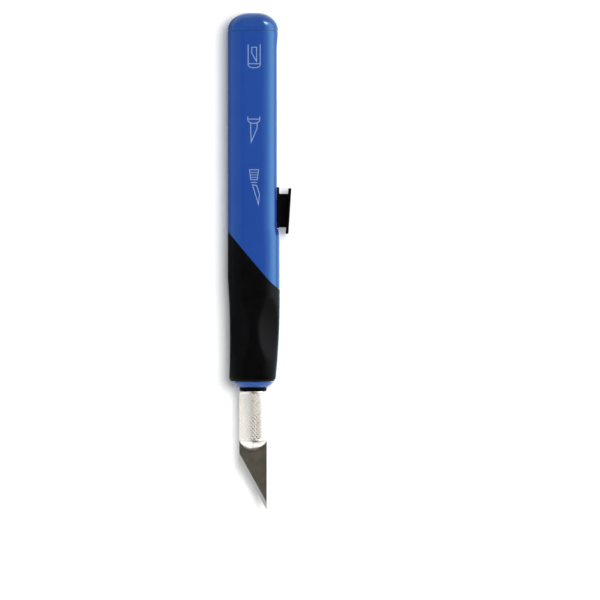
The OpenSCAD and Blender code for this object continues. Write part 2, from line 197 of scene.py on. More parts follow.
# A value, colour or vector on its way through a material; sums and products of values add their Math nodes
class Flow:
    def __init__(self, tree, socket=None):
        self.tree, self.socket = tree, socket

    def node(self, kind, settings=None, inputs=None, output=0):
        made = self.tree.nodes.new("ShaderNode" + kind)
        for name, value in (settings or {}).items():
            setattr(made, name, value)
        for key, value in (inputs or {}).items():
            if isinstance(value, Flow):
                self.tree.links.new(value.socket, made.inputs[key])
            else:
                made.inputs[key].default_value = value
        return Flow(self.tree, made.outputs[output])

    def maths(self, operation, *values):
        return self.node("Math", {"operation": operation}, dict(enumerate(values)))

    def __add__(self, other):
        return self.maths("ADD", self, other)

    def __sub__(self, other):
        return self.maths("SUBTRACT", self, other)

    def __rsub__(self, other):
        return self.maths("SUBTRACT", other, self)

    def __mul__(self, other):
        return self.maths("MULTIPLY", self, other)

    __radd__, __rmul__ = __add__, __mul__

    def ramp(self, low, high):  # 0 at low, 1 at high, with flat ends
        return self.node("MapRange", {"interpolation_type": "SMOOTHSTEP"}, {0: self, 1: low, 2: high})

    def stretched(self, x, y, z):
        return self.node("VectorMath", {"operation": "MULTIPLY"}, {0: self, 1: (x, y, z)})

    def noise(self, size, detail=2.0, roughness=0.5):  # a cloud whose lumps are about size millimetres
        return self.node("TexNoise", {}, {"Vector": self, "Scale": 1 / (size * mm), "Detail": detail,
                                          "Roughness": roughness})

    def blend(self, first, second):  # first where the value is 0, second where it is 1
        return self.node("Mix", {"data_type": "RGBA"}, {0: self, 6: first, 7: second}, 2)

    def mark(self, name):
        return self.node("Attribute", {"attribute_name": name}, {}, 2)

    def bump(self, depth, strength=1.0):  # the value as a height of depth millimetres
        return self.node("Bump", {}, {"Strength": strength, "Distance": depth * mm, "Height": self})


def newFinish(name):
    material = bpy.data.materials.new(name)
    material.use_nodes = True
    tree = material.node_tree
    shader = tree.nodes["Principled BSDF"]
    place = Flow(tree).node("TexCoord", {}, {}, 3)  # Object coordinates
    return material, shader, place


def feed(shader, **sockets):  # numbers go on the shader's own sockets, flows are linked
    names = {name.replace(" ", "").lower(): name for name in shader.inputs.keys()}
    for key, value in sockets.items():
        socket = shader.inputs[names[key.lower()]]
        if isinstance(value, Flow):
            value.tree.links.new(value.socket, socket)
        else:
            socket.default_value = value


def paint(red, green, blue):
    return (red, green, blue, 1.0)


# Satin moulded plastic: slow colour drift, fine spark-eroded grain, faint handling scuffs and rubbed edges
def bluePlastic():
    look = dict(deep=paint(0.0092, 0.0386, 0.223), pale=paint(0.0098, 0.0408, 0.233),
                rubbed=paint(0.02, 0.08, 0.28), shine=paint(0.41, 1.0, 1.0), shineLevel=0.52,
                grain=0.14, grainDeep=0.006, drift=9, scuff=2.2, patch=6, rough=0.17)
    material, shader, place = newFinish("bluePlastic")
    drift = place.noise(look["drift"], 3).ramp(0.35, 0.65)
    grain = place.noise(look["grain"], 3, 0.6)
    scuff = place.stretched(1, 0.12, 1).noise(look["scuff"], 5, 0.7).ramp(0.52, 0.72)
    edge = place.mark("edge") * place.noise(look["patch"], 2).ramp(0.3, 0.7)
    colour = (edge * 0.12).blend(drift.blend(look["deep"], look["pale"]), look["rubbed"])
    feed(shader, baseColor=colour, roughness=look["rough"] + scuff * 0.05 + grain * 0.06 + edge * 0.04,
         specularIorLevel=look["shineLevel"], specularTint=look["shine"],
         normal=grain.bump(look["grainDeep"], 0.5))
    return material


# Soft grip rubber: matt, with a close leathery grain and a little dust in it
def gripRubber():
    look = dict(dark=paint(0.0004, 0.0004, 0.0005), dusty=paint(0.0015, 0.0014, 0.0015), shineLevel=0.07,
                grain=0.22, grainDeep=0.02, dust=3.5, patch=6, rough=0.34)
    material, shader, place = newFinish("gripRubber")
    grain = place.noise(look["grain"], 3, 0.6)
    dust = place.noise(look["dust"], 4, 0.6).ramp(0.4, 0.75)
    edge = place.mark("edge") * place.noise(look["patch"], 2).ramp(0.3, 0.7)
    colour = (dust * 0.5 + edge * 0.5).blend(look["dark"], look["dusty"])
    feed(shader, baseColor=colour, roughness=look["rough"] + grain * 0.1 + dust * 0.06,
         specularIorLevel=look["shineLevel"], normal=grain.bump(look["grainDeep"], 0.6))
    return material


# Black nylon of the slider and carriage: finer grain, and a sheen where the thumb rubs
def blackPlastic():
    look = dict(dark=paint(0.0004, 0.0004, 0.0005), rubbed=paint(0.0016, 0.0016, 0.0017), shineLevel=0.035,
                grain=0.12, grainDeep=0.01, wear=1.4, rough=0.42)
    material, shader, place = newFinish("blackPlastic")
    grain = place.noise(look["grain"], 3, 0.6)
    wear = place.noise(look["wear"], 4, 0.6).ramp(0.42, 0.7)
    colour = (wear * 0.6).blend(look["dark"], look["rubbed"])
    feed(shader, baseColor=colour, specularIorLevel=look["shineLevel"],
         roughness=look["rough"] + grain * 0.1 - wear * 0.05, normal=grain.bump(look["grainDeep"], 0.5))
    return material


# Bright turned aluminium: rings of the turning tool, soft tarnish, and grime with painted shade low in the
# knurling
def chuckAluminium():
    look = dict(bright=paint(0.86, 0.84, 0.8), dull=paint(0.79, 0.755, 0.695), dirtAndShade=paint(0.66, 0.55, 0.39),
                ring=0.06, ringDeep=0.004, tarnish=1.6, speck=0.5, rough=0.22)
    material, shader, place = newFinish("chuckAluminium")
    rings = place.stretched(0.04, 1, 0.04).noise(look["ring"], 2, 0.6)
    tarnish = place.noise(look["tarnish"], 4, 0.6).ramp(0.4, 0.75)
    # Painted shade: the knurl's grooves darken with their depth, partly as grime and partly as the shade that
    # falls in them
    low = place.mark("depth") * (0.55 + 0.45 * place.noise(look["speck"], 3))
    colour = low.blend((tarnish * 0.5).blend(look["bright"], look["dull"]), look["dirtAndShade"])
    feed(shader, baseColor=colour, metallic=1.0, normal=rings.bump(look["ringDeep"], 0.5),
         roughness=look["rough"] + rings * 0.1 + tarnish * 0.06 + low * 0.12)
    return material


# Dark tempered blade steel, with long rolling lines on its faces and grinding lines across its bright bevel
def bladeSteel():
    look = dict(dark=paint(0.196, 0.184, 0.151), warm=paint(0.255, 0.241, 0.2), ground=paint(0.5, 0.5, 0.47),
                line=0.07, lineDeep=0.004, cloud=3.0, rough=0.36)
    material, shader, place = newFinish("bladeSteel")
    rolled = place.stretched(1, 0.03, 1).noise(look["line"], 3, 0.6)
    cloud = place.noise(look["cloud"], 4, 0.6).ramp(0.35, 0.7)
    across = place.node("Mapping", {}, {0: place, 2: (0, 0, -blade["edgeTurn"])})
    grinding = across.stretched(0.03, 1, 1).noise(look["line"], 3, 0.6)
    bevel = place.mark("bevel")
    colour = bevel.blend(cloud.blend(look["dark"], look["warm"]), look["ground"])
    lines = bevel * grinding + (1 - bevel) * rolled
    feed(shader, baseColor=colour, metallic=1.0, roughness=look["rough"] + lines * 0.14 - bevel * 0.06,
         normal=lines.bump(look["lineDeep"], 0.6))
    return material


# Spring steel of the leaf and the ring: blued, with fine drawn lines
def springSteel():
    look = dict(blued=paint(0.26, 0.27, 0.3), bare=paint(0.5, 0.5, 0.49), line=0.08, lineDeep=0.003, wear=0.9,
                rough=0.28)
    material, shader, place = newFinish("springSteel")
    drawn = place.stretched(1, 0.05, 1).noise(look["line"], 3, 0.6)
    worn = place.noise(look["wear"], 4, 0.6).ramp(0.4, 0.7)
    feed(shader, baseColor=worn.blend(look["blued"], look["bare"]), metallic=1.0,
         roughness=look["rough"] + drawn * 0.15, normal=drawn.bump(look["lineDeep"], 0.5))
    return material


# Pale pad-printed ink, thin in places
def printInk():
    look = dict(full=paint(0.19, 0.27, 0.42), thin=paint(0.09, 0.15, 0.3), spot=0.3, grain=0.1,
                grainDeep=0.003, rough=0.45)
    material, shader, place = newFinish("printInk")
    thin = place.noise(look["spot"], 4, 0.65).ramp(0.45, 0.72)
    feed(shader, baseColor=thin.blend(look["full"], look["thin"]), roughness=look["rough"] + thin * 0.1,
         normal=place.noise(look["grain"], 2).bump(look["grainDeep"], 0.5))
    return material


handle = dict(
    track=6.95, trackFront=46.3, stepHigh=0.4, stepLong=2.1, stepFace=0.16, swellLong=4, swellLap=1, ramp=5.6,
    rampRise=0.36, landSoft=0.06, seamRound=0.12, edgeRound=0.12, turnRow=46.6,
    slotHalf=1.7, slotFrom=48.1, slotTo=93.18, slotRound=0.18, slotFade=5,
    core=5.35, noseLong=1.6, noseBase=5.92, noseBall=6.5, noseEdge=0.1, bore=4.15, boreLip=1, mouthRound=0.12,
    cavityHalf=5.65, cavityThick=4.6, cavityCorner=2.9, cavityFront=47.2, cavityFrom=47.9, wear=0.3,
)
# The right flat of the section is as wide as the slot; more columns lie near the slot's edge
# and the track's edges
landTurn = np.degrees(np.arccos((handle["track"] - halfWide + tubeCorner) / tubeCorner))
slotColumns = np.sin(np.linspace(-np.pi / 2, np.pi / 2, 13))
leftTurns, nearSlot = np.linspace(0, 90, 21), [0.7, 1.6, 2.8]
rightTurns = np.unique(np.concatenate([leftTurns, landTurn + np.linspace(-2.4, 2.4, 5), nearSlot]))
tubeColumns = ringColumns(slotColumns, rightTurns, 14, leftTurns, np.linspace(1, -1, 7))


def tubeRing(left, right, inset=0.0):  # the tube's rounded rectangle between two sides
    return roundedRing(tubeColumns, left + inset, right - inset, halfThick - inset, tubeCorner - inset)


baseX, baseUp = tubeRing(-halfWide, halfWide)
swellX = tubeRing(-halfWide, swell)[0]
bearing = np.arctan2(baseUp, baseX)


def slantEdge(x):  # two straight lines joined softly: steep down to a knee, then flatter to the slider's side
    kneeX = swell - slant["kneeWide"]
    kneeAlong = slant["high"] - slant["drop"] + slant["kneeDrop"]
    steep = (kneeAlong - slant["high"]) / (kneeX + halfWide)
    flat = -slant["kneeDrop"] / slant["kneeWide"]
    return softMax(kneeAlong + steep * (x - kneeX), kneeAlong + flat * (x - kneeX), slant["kneeSoft"])


# The slider's side: a swell, a quarter-round shoulder, a step down, the flat track and a slope out
def sideLimit(along):
    h = handle
    q = np.clip((along - h["trackFront"] + h["stepLong"]) / h["stepLong"], 0, 1)
    shoulder = swell - (swell - h["track"] - h["stepHigh"]) * (1 - np.sqrt(1 - q * q))
    drop = smooth((along - h["trackFront"]) / h["stepFace"] + 0.5)
    rise = smooth((along - tubeSeam) / h["ramp"] + 1) * h["rampRise"]
    return shoulder * (1 - drop) + (h["track"] + rise) * drop


# The rounded rectangle, swelling in front of the track, cut off softly at the side's limit
def tubeSkin(along, inset=0.0):
    h = handle
    grow = smooth((h["trackFront"] + h["swellLap"] - along) / h["swellLong"])
    x, up = tubeRing(-halfWide, halfWide + (swell - halfWide) * grow, inset)
    return softMin(x, sideLimit(along) - inset, h["landSoft"]), up


def cavityRing(inset=0.0):  # the rounded rectangle of the tube's hollow
    h = handle
    return roundedRing(tubeColumns, inset - h["cavityHalf"], h["cavityHalf"] - inset,
                       h["cavityThick"] - inset, h["cavityCorner"] - inset)


# The tube is one closed skin: down the outside to the slanting edge, over the core and nose,
# back through bore and cavity
def makeHandle(material):
    h, seam = handle, tubeSeam
    rear, front = h["slotTo"] - h["slotHalf"], h["slotFrom"] + h["slotHalf"]
    frontFade = front - h["turnRow"]
    near = h["slotRound"] * np.array([0.5, 1, 1.8])
    base = column(np.concatenate([
        (seam - h["seamRound"] * (1 - np.cos(quarter))).ravel(),
        np.linspace(seam - 2 * h["seamRound"], seam - h["ramp"] - 0.4, 14),
        rear + h["slotFade"] * np.linspace(1, 0.1, 8), rear + near[::-1],
        np.linspace(rear, front, 24),
        front - near, front - frontFade * np.linspace(0.16, 1, 8),
    ]))
    inset = np.zeros_like(base)
    inset[:len(quarter)] = h["seamRound"] * (1 - np.sin(quarter))
    onFlat = (tubeColumns[0] == 1) * np.sqrt(np.maximum(h["slotHalf"] ** 2 - baseUp**2, 0))

    # Rows past the slot's straight part bow out by its half-round end, less and less with distance
    def bulged(rows):
        past = 1 - smooth((rows - rear) / h["slotFade"])
        before = 1 - smooth((front - rows) / frontFade)
        return rows + onFlat * np.where(rows >= rear, past, np.where(rows <= front, -before, 0))

    along = bulged(base)
    x, up = tubeSkin(along, inset)
    beyond = np.maximum(np.maximum(front - along, along - rear), 0)
    fromSlot = np.where(tubeColumns[0] == 1, np.hypot(up, beyond) - h["slotHalf"], np.inf)
    dip = np.clip(h["slotRound"] - fromSlot, 0, h["slotRound"])
    x = x - (h["slotRound"] - np.sqrt(h["slotRound"] ** 2 - dip**2))
    rearSkin = sheet(x, along, up)
    rearWear = np.maximum(nearness(fromSlot, h["wear"]), nearness(seam - along, h["wear"]))

    # Rows that lean over from square to the slanting edge, close together at the track's step
    stepAhead = h["turnRow"] - h["trackFront"]
    stepShare = stepAhead / (h["turnRow"] - slantEdge(swell))
    share = column(np.concatenate([
        stepShare * np.array([0.3, 0.6, 0.75, 0.85, 0.93, 1, 1.07, 1.15, 1.25, 1.4]),
        stepShare * (1.6 + h["stepLong"] / stepAhead * np.linspace(0, 1, 12)), np.linspace(0.17, 1, 18)]))
    edge = slantEdge(swellX)
    leaning = h["turnRow"] + (edge + h["edgeRound"] - h["turnRow"]) * share
    leanX, leanUp = tubeSkin(leaning)
    rounding = edge + h["edgeRound"] * (1 - np.sin(quarter[1:]))
    roundX, roundUp = tubeSkin(rounding, h["edgeRound"] * (1 - np.cos(quarter[1:])))

    coreX, coreUp = h["core"] * np.cos(bearing), h["core"] * np.sin(bearing)
    third = column([1 / 3, 2 / 3, 1])
    faceX = (1 - third) * roundX[-1] + third * coreX
    faceUp = (1 - third) * roundUp[-1] + third * coreUp
    down = column(np.linspace(0, 1, 7)[1:])
    core = slantEdge(coreX) * (1 - down) + h["noseLong"] * down

    # Nose: part of a ball, with small rounds at its base and at its mouth
    ballSquare = h["noseBase"] ** 2 + (h["noseBall"] - h["noseLong"]) ** 2
    mouth = h["noseBall"] - np.sqrt(ballSquare - (h["bore"] + h["mouthRound"]) ** 2)
    ball = np.linspace(h["noseLong"] - h["noseEdge"], mouth, 18)
    noseR = np.concatenate([h["noseBase"] - h["noseEdge"] * np.array([1.5, 0.7]),
                            np.sqrt(ballSquare - (h["noseBall"] - ball) ** 2),
                            h["bore"] + h["mouthRound"] * (1 - np.sin(quarter[1:, 0]))])
    noseAlong = np.concatenate([h["noseLong"] - h["noseEdge"] * np.array([0, 0.2]), ball,
                                mouth + h["mouthRound"] * (1 - np.cos(quarter[1:, 0]))])
    boreAlong = np.linspace(mouth + h["boreLip"], h["cavityFront"], 6)
    noseR = np.append(noseR, np.full_like(boreAlong, h["bore"]))
    nose = turned(column(noseR), column(np.append(noseAlong, boreAlong)), bearing)

    inside = base[(base >= h["cavityFrom"]) & (base < seam - h["seamRound"])][::-1]
    inside = column(np.concatenate([[h["cavityFront"]], inside, [seam]]))
    cavityX, cavityUp = cavityRing()

    blocks = [rearSkin, sheet(leanX, leaning, leanUp), sheet(roundX, rounding, roundUp),
              sheet(faceX, slantEdge(faceX), faceUp), sheet(coreX, core, coreUp), nose,
              sheet(cavityX, bulged(inside), cavityUp)]
    grid = np.concatenate(blocks)
    rows, columns = grid.shape[:2]

    # The slot: cells go from the outer and the inner wall, and quads join the two rims
    innerFirst = rows - len(inside)
    outerRear, outerFront = (int(np.argmin(abs(base - place))) for place in (rear, front))
    innerRear, innerFront = (innerFirst + int(np.argmin(abs(inside - place))) for place in (rear, front))
    lastFlat = len(slotColumns) - 1
    kept = np.ones((rows, columns), bool)
    kept[outerRear:outerFront, :lastFlat] = False
    kept[innerFront:innerRear, :lastFlat] = False
    across, stretch = np.arange(lastFlat + 1), np.arange(outerFront - outerRear + 1)
    rimRow = np.concatenate([0 * across, stretch[1:], 0 * across[1:] + stretch[-1], stretch[::-1][1:]])
    rimColumn = np.concatenate([across, 0 * stretch[1:] + lastFlat, across[::-1][1:], 0 * stretch[1:]])
    outer, inner = (outerRear + rimRow) * columns + rimColumn, (innerRear - rimRow) * columns + rimColumn
    rim = np.stack([outer[:-1], outer[1:], inner[1:], inner[:-1]], -1)
    quads = np.concatenate([gridCells(rows, columns, True)[kept], rim])

    edgeWear = np.zeros((rows, columns))
    edgeWear[:len(base)] = rearWear
    leanEnd = len(base) + len(leaning)
    edgeWear[len(base):leanEnd] = nearness(leaning - edge, h["wear"])
    edgeWear[leanEnd:leanEnd + len(rounding)] = 1
    addPiece("handle_shell", [closedShell(grid, quads)], "handle", "handle_tube", "blue_plastic", material,
             edge=edgeWear)


grip = dict(gap=0.05, waist=0.65, waistAt=14, waistHalf=18, waistSoft=0.08, waistFade=0.02, taperFrom=26,
            taperIn=1.45, scoop=1.35, scoopLong=18.6, scoopAt=16.8, scoopTurn=64, scoopSoft=0.22,
            scoopRim=1.2, edgeRound=0.2, foot=1.78, toeHigh=1.5, toeIn=0.8, levelRow=27, hole=5.4, wear=0.4)


# The swollen section with a waist on one side, a taper on the other and two ball-shaped scoops
def gripSkin(along, inset=0.0):
    g = grip
    waistR, taperR = arcRadius(g["waistHalf"], g["waist"]), arcRadius(g["taperFrom"], g["taperIn"])
    fromWaist = np.clip(along - g["waistAt"], -2 * g["waistHalf"], 2 * g["waistHalf"])
    waist = g["waist"] - waistR + np.sqrt(waistR**2 - fromWaist**2)
    lift = g["waistSoft"] / 2 * np.exp(-waist**2 / g["waistFade"])  # of the soft join, at its middle
    waist = softMax(waist, 0 * along, g["waistSoft"]) - lift
    taper = taperR - np.sqrt(taperR**2 - np.clip(g["taperFrom"] - along, 0, None) ** 2)
    x, up = tubeRing(np.maximum(waist, 0) - halfWide, swell - taper, inset)

    # Points inside a scoop's ball are pushed straight out to its surface, softly at its rim
    scoopR = arcRadius(g["scoopLong"] / 2, g["scoop"])
    turn, reach = np.radians(g["scoopTurn"]), tubeCorner + scoopR - g["scoop"]
    for side, half in ((1, swell), (-1, halfWide)):
        fromX = x - side * (half - tubeCorner + reach * np.cos(turn))
        fromUp = up - (halfThick - tubeCorner + reach * np.sin(turn))
        fromAlong = along - g["scoopAt"]
        away = np.sqrt(fromX**2 + fromUp**2 + fromAlong**2)
        push = softMax(scoopR - away, 0 * away, g["scoopSoft"])
        push = push * smooth((scoopR - away) / g["scoopRim"] + 1)
        x, up = x + fromX / away * push, up + fromUp / away * push
    return x, up


# The grip is one closed skin: slanting face, moulded outside, rounded toe and the hole round the core
def makeGrip(material):
    g = grip
    edge = slantEdge(swellX) - g["gap"]
    rounding = edge - g["edgeRound"] * (1 - np.cos(quarter))
    roundX, roundUp = gripSkin(rounding, g["edgeRound"] * (1 - np.sin(quarter)))
    share = column(np.linspace(0, 1, 50)[1:])
    top = edge - g["edgeRound"]
    leaning = top + (g["levelRow"] - top) * share
    leanX, leanUp = gripSkin(leaning)
    swing = np.linspace(0, np.pi / 2, 14)[1:]
    level = column(np.append(np.linspace(g["levelRow"], g["foot"] + g["toeHigh"], 60)[1:],
                             g["foot"] + g["toeHigh"] * (1 - np.sin(swing))))
    toe = np.clip((level - g["foot"]) / g["toeHigh"], 0, 1)  # the outline draws in along a quarter ellipse
    levelX, levelUp = gripSkin(level, g["toeIn"] * (1 - np.sqrt(1 - (1 - toe) ** 2)))
    holeX, holeUp = g["hole"] * np.cos(bearing), g["hole"] * np.sin(bearing)
    upward = column(np.linspace(0, 1, 9))
    holeAlong = g["foot"] + (slantEdge(holeX) - g["gap"] - g["foot"]) * upward
    third = column([1 / 3, 2 / 3])
    faceX, faceUp = (1 - third) * holeX + third * roundX[0], (1 - third) * holeUp + third * roundUp[0]
    blocks = [sheet(faceX, slantEdge(faceX) - g["gap"], faceUp), sheet(roundX, rounding, roundUp),
              sheet(leanX, leaning, leanUp), sheet(levelX, level, levelUp), sheet(holeX, holeAlong, holeUp)]
    grid = np.concatenate(blocks)
    edgeWear = np.zeros(grid.shape[:2])
    first = len(faceX) + len(rounding)
    edgeWear[len(faceX):first] = 1
    edgeWear[first:first + len(leaning)] = nearness(leaning - top, g["wear"])
    shell = closedShell(grid, gridCells(*grid.shape[:2], True))
    addPiece("grip_skin", [shell], "handle", "grip_sleeve", "grip_rubber", material, edge=edgeWear)


cap = dict(gap=0.13, grooveDeep=0.35, seamRound=0.12, domeIn=6.0, domeFrom=4, plugInset=0.05, plugLong=4.5,
           plugEdge=0.1, seat=0.01, wear=0.3)


# The cap is the tube's section scaled down along a quarter ellipse, on a plug that fills the cavity's mouth
def makeCap(material):
    c, seam = cap, tubeSeam + cap["gap"]
    turn, swing = quarter[:, 0], np.radians(np.linspace(c["domeFrom"], 90, 30))
    rise = column(np.append(c["seamRound"] * (1 - np.cos(turn)), (capHigh[1] - seam) * np.sin(swing)))
    inset = column(np.append(c["seamRound"] * (1 - np.sin(turn)), c["domeIn"] * (1 - np.cos(swing))))
    scale = 1 - inset / halfWide
    dome = sheet(baseX * scale, seam + rise, baseUp * scale)
    top = dome[-1:] * (0.5, 1, 0.5)  # a smaller ring on the flat top
    plugX, plugUp = cavityRing(c["plugInset"])
    foot, seated = tubeSeam - c["plugLong"], tubeSeam + c["seat"]
    shrink = column([0.3, 0.7, 0.97])
    plug = [sheet(plugX * shrink, foot, plugUp * shrink),
            sheet(plugX, column([foot + c["plugEdge"], seated - 1, seated]), plugUp)]
    groove = 1 - c["grooveDeep"] / halfWide
    shoulder = sheet(baseX * groove, column([seated, seam]), baseUp * groove)
    grid = np.concatenate([*plug, shoulder, dome, top])
    edgeWear = nearness(grid[..., 1] - seam, c["wear"])
    addPiece("rear_cap", [fannedShell(grid)], "handle", "end_cap", "blue_plastic", material,
             edge=np.append(edgeWear.ravel(), [0, 0]))


pictograms = dict(width=0.24, half=1.75, sink=0.05, places=((0.35, 96.6), (0.25, 75.2), (0.3, 58.4)))


# A line of ink: a thin bar whose sides are the path offset by its mitred normals
def inkLine(path, width, closed=False):
    path = np.asarray(path, float)
    step = np.roll(path, -1, axis=0) - path
    step /= np.maximum(np.linalg.norm(step, axis=1, keepdims=True), 1e-9)
    before, after = np.roll(step, 1, axis=0), step.copy()
    if not closed:
        before[0], after[-1] = after[0], before[-1]
        path = path.copy()
        path[0] -= after[0] * width / 2
        path[-1] += before[-1] * width / 2
    turn = [np.stack([-d[:, 1], d[:, 0]], -1) for d in (before, after)]
    mitre = (turn[0] + turn[1]) / (1 + np.sum(turn[0] * turn[1], axis=1, keepdims=True))
    left, right = path + mitre * width / 2, path - mitre * width / 2
    high, low = halfThick + skinInset, halfThick - pictograms["sink"]
    ring = np.stack([sheet(p[:, 0], p[:, 1], level) for p, level in
                     ((left, high), (right, high), (right, low), (left, low))], 1)
    if closed:
        return closedShell(ring, gridCells(*ring.shape[:2], True))
    return fannedShell(ring)


def bowl(wide, deep, count=9):  # the lower half of an ellipse, from left to right
    turn = np.linspace(np.pi, 2 * np.pi, count)
    return np.stack([wide * np.cos(turn), deep * np.sin(turn)], -1)


# Three plain signs for the slider's stops: blade in, blade out, and blade loose under its chuck
def makePictograms(material):
    w, half = pictograms["width"], pictograms["half"]
    strokes = []

    def draw(anchor, path, closed=False, weight=1.0):
        strokes.append(inkLine(np.asarray(path) + np.asarray(anchor), w * weight, closed))

    first, second, third = pictograms["places"]
    draw(first, [(-half, 3.3), *(bowl(half, 0.8) + (0, -2.6)), (half, 3.3)])
    draw(first, [(-1.6, -2.2), (1.6, -2.2)])
    draw(first, [(-0.7, 2.6), (0.7, 2.6), (0.7, -1.5), (-0.7, 0.9)], True)
    draw(second, [(-half, 3.7), *(bowl(half, 1.1) + (0, 2.9)), (half, 3.7)])
    draw(second, [(-1.6, 3.05), (1.6, 3.05)])
    draw(second, [(0.95, 1.75), (0.95, 0.4), (-0.75, -3.6), (-0.95, 1.75)])
    draw(third, [(-1.3, 5.1), (1.3, 5.1), (0.95, 2.2), (-0.95, 2.2)], True)
    for level in (4.3, 3.6, 2.9):
        draw(third, [(-0.9, level), (0.9, level)], False, 0.7)
    draw(third, [(-0.75, 1.4), (0.75, 1.4)])
    draw(third, [(-0.45, 0.7), (0.75, 0.5), (1.6, -2.0), (1.3, -4.9), (0.35, -1.9)], True)
    addPiece("pictograms", strokes, "handle", None, "blue_plastic", material, 30)


thumb = dict(front=46.5, rear=56.5, stemInset=1.8, stemHalf=1.5, stemFlat=0.01, stemFrom=3.35, stemMiddle=5.0,
             flangeX=6.98, flangeThick=0.67, flangeTail=1.9, flangeHalf=3.5, flangeCorner=0.6, blockHalf=2.5,
             blockHigh=1.95, blockCorner=0.5, setBack=0.02, tilt=3.7, plateThick=0.85, fillet=0.25,
             edge=0.22, corner=0.7, dish=0.4, padHalf=2.5, padLong=5.1, padEnd=(0.6, 0.8), padSoft=0.9,
             ribHigh=0.3, ribPitch=1.35, ribSoft=0.5)


# The slider is a rounded rectangle carried outwards from the slot: stem, flange, block, then the tilted plate
# and its dish
def makeThumb(material):
    t, turn = thumb, quarter[:, 0]
    arc, flat = np.linspace(0, 90, 9), np.linspace(-1, 1, 17)
    columns = ringColumns(flat, arc, 36, arc, -flat)
    plateFront, plateRear = thumbLow[1], t["front"] + t["rear"] - thumbLow[1]
    rootX = t["flangeX"] + t["flangeThick"]
    underX = rootX + t["blockHigh"]
    topX = underX + t["plateThick"]
    e, f = t["edge"], t["fillet"]

    # Each station holds x, its share of the tilt, front end, rear end, half width and corner radius
    stem = (t["front"] + t["stemInset"], t["rear"] - t["stemInset"],
            t["stemHalf"], t["stemHalf"] - t["stemFlat"])
    stations = [[(x, 0, *stem) for x in (t["stemFrom"], t["stemMiddle"], t["flangeX"])]]

    # A quarter round that starts or ends at x; sides move out by d times grow, the front end by d times ahead
    def rounded(x, radius, starts, tilted, front, rear, half, corner, grow=-1, ahead=-1):
        rise, lean = radius * (1 - np.cos(turn)), radius * (1 - np.sin(turn))
        x, d = (x + rise, lean) if starts else (x - lean, rise)
        values = (x, tilted, front - ahead * d, rear + grow * d, half + grow * d, corner + grow * d)
        stations.append(np.stack(np.broadcast_arrays(*values), -1))

    flange = (0, t["front"], t["rear"] + t["flangeTail"], t["flangeHalf"], t["flangeCorner"])
    rounded(t["flangeX"], e / 2, True, *flange)
    rounded(rootX, e, False, *flange)
    block = (t["front"] + e + t["setBack"], t["rear"], t["blockHalf"], t["blockCorner"])
    rounded(rootX, f, True, 0, *block, grow=1, ahead=0)
    stations.append([((rootX + underX) / 2, 0.5, *block)])
    rounded(underX, f, False, 1, *block, grow=1, ahead=1)
    plate = (1, plateFront, plateRear, thumbHigh[2], t["corner"])
    rounded(underX, e, True, *plate)
    rounded(topX, e, False, *plate)
    x, tilted, front, rear, half, corner = (column(values) for values in np.concatenate(stations).T)
    along, up = roundedRing(columns, front, rear, half, corner)
    slope = np.tan(np.radians(t["tilt"]))
    skin = sheet(x + tilted * slope * (along - t["front"]), along, up)

    # Top: rings shrink to the middle; the dish is a soft-edged hollow with rounded ribs across it
    shrink = column(np.linspace(1, 0.02, 46)[1:])
    middle = (plateFront + plateRear) / 2
    topAlong, topUp = middle + (along[-1] - middle) * shrink, up[-1] * shrink
    pad = smooth((t["padHalf"] + t["padEnd"][0] - abs(topUp)) / t["padSoft"])
    pad = pad * smooth((t["padLong"] + t["padEnd"][1] - abs(topAlong - middle)) / t["padSoft"])
    wave = 0.5 + 0.5 * np.cos(2 * np.pi * (topAlong - middle) / t["ribPitch"])
    ribbed = smooth((t["padHalf"] - abs(topUp)) / t["ribSoft"])
    hollow = pad * (t["dish"] - t["ribHigh"] * smooth(wave) * ribbed)
    top = sheet(topX + slope * (topAlong - t["front"]) - hollow, topAlong, topUp)
    shell = fannedShell(np.concatenate([skin, top]))
    addPiece("thumb_button", [shell], "slider", "thumb_slider", "black_plastic", material)


chuck = dict(radius=4.0, starts=24, pitch=1.15, steps=12, depth=0.07, crest=1 / 3, rearBand=0.55,
             frontBand=0.35, fadeIn=0.3, relief=0.02, chamfer=0.14, edge=0.06, lap=0.05, mouth=3.5,
             coneLong=4, hole=2.56, counter=3.15, counterAt=-4.7)


